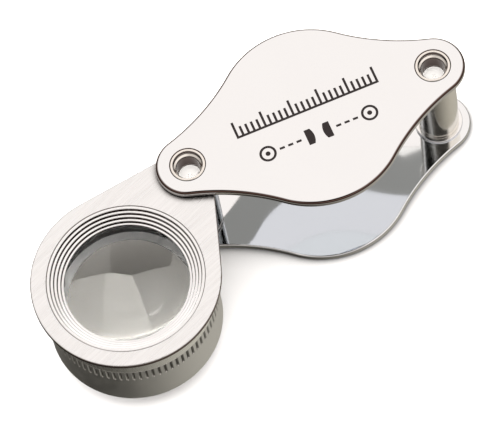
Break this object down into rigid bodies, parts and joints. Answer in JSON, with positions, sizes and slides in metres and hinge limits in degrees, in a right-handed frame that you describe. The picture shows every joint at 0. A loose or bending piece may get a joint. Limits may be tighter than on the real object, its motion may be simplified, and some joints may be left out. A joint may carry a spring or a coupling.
{
  "type": "folding viewing loupe",
  "caption": "Folding doublet loupe: a lens barrel in a teardrop frame that swings out from between two polished cover plates on a rivet.",
  "frame": {"origin": "centre of the case, halfway between the two rivets, on the outer face of the rear cover", "axes": "+X from the swing rivet to the spacer rivet, +Z from the rear cover to the front cover"},
  "size_m": [0.082, 0.0464, 0.022],
  "materials": {
    "cover": "mirror polished",
    "marking": "satin filled enamel",
    "rivet": "polished",
    "washer": "satin",
    "spring": "satin spring steel",
    "sleeve": "satin nickel",
    "spacer_washer": "polished",
    "lens_frame": "brushed top, satin sides",
    "bush": "turned",
    "barrel": "satin with a coin-edge grip",
    "ring": "bright turned",
    "black_anodised": "matte black anodised",
    "lens_glass": "polished, coated"
  },
  "bodies": {
    "case": {"front_cover": "cover", "rear_cover": "cover", "cover_marking": "marking", "pivot_rivet": "rivet", "friction_washer_upper": "washer", "friction_washer_lower": "washer", "spring_washer": "spring", "spacer_rivet": "rivet", "spacer_sleeve": "sleeve", "spacer_washer_upper": "spacer_washer", "spacer_washer_lower": "spacer_washer"},
    "lens_holder": {"holder_frame": "lens_frame", "pivot_bush": "bush", "lens_cell": "barrel", "front_ring": "ring", "front_lens": "lens_glass", "lens_spacer": "black_anodised", "rear_lens": "lens_glass", "rear_ring": "black_anodised"}
  },
  "joints": [
    {"name": "lens_swing", "type": "hinge", "parent": "case", "child": "lens_holder", "pos_m": [-0.022, 0, 0.011], "axis": [0, 0, 1], "continuous": true}
  ]
}
